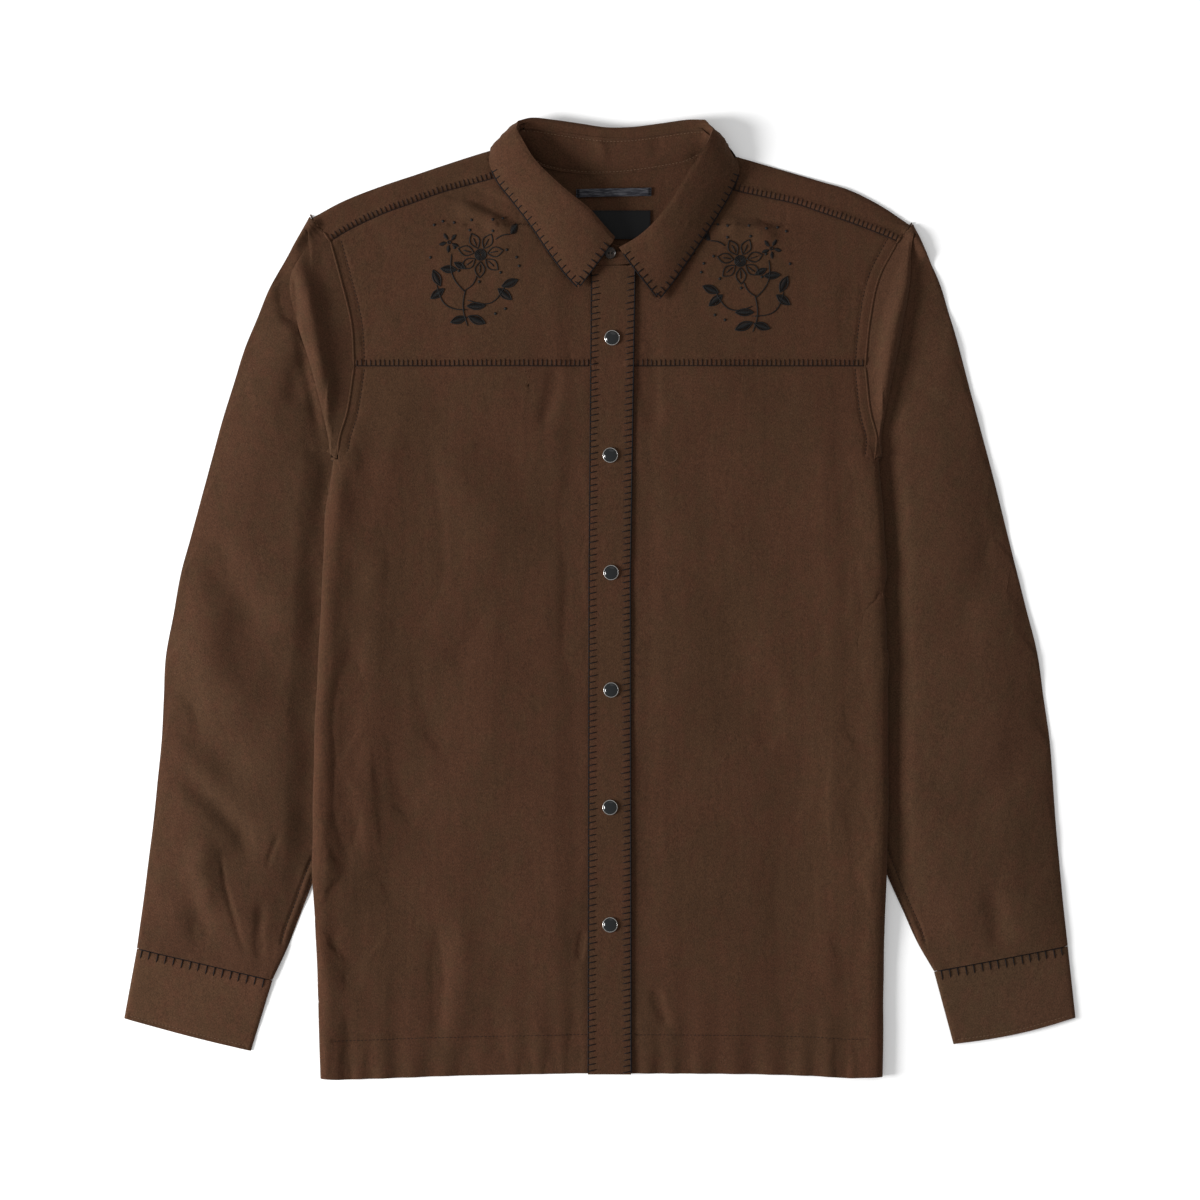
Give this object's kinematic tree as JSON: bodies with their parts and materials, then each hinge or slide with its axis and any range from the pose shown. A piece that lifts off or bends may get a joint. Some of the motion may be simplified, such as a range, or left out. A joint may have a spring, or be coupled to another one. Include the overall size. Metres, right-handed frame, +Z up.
{
  "type": "button-up shirt",
  "caption": "Long-sleeved brown twill shirt with a spread collar, snapped front placket, chest yokes and dark blanket-stitch trim, closed and laid flat.",
  "frame": {"origin": "centre of the laid shirt's outline, on the surface that it lies on", "axes": "+Z up from the surface, +Y from the hem towards the collar, +X to the wearer's left, so the viewer's right"},
  "size_m": [0.7615, 0.7678, 0.0238],
  "materials": {
    "brown_twill": "brushed cotton twill, matte",
    "dark_tape": "woven tape, matte",
    "label_weave": "satin woven label, plain",
    "snap_metal": "darkened metal ring and cap",
    "dark_horn": "semi-gloss horn"
  },
  "bodies": {
    "root": {"back": "brown_twill", "yoke": "brown_twill", "front_right": "brown_twill", "front_left": "brown_twill", "front_yoke_right": "brown_twill", "front_yoke_left": "brown_twill", "placket": "brown_twill", "collar_stand": "brown_twill", "collar_leaf": "brown_twill", "sleeve_right": "brown_twill", "sleeve_left": "brown_twill", "cuff_right": "brown_twill", "cuff_left": "brown_twill", "hanger_loop": "dark_tape", "neck_label": "label_weave", "snap_1": "snap_metal", "snap_2": "snap_metal", "snap_3": "snap_metal", "snap_4": "snap_metal", "snap_5": "snap_metal", "snap_6": "snap_metal", "collar_button": "dark_horn"}
  },
  "joints": []
}
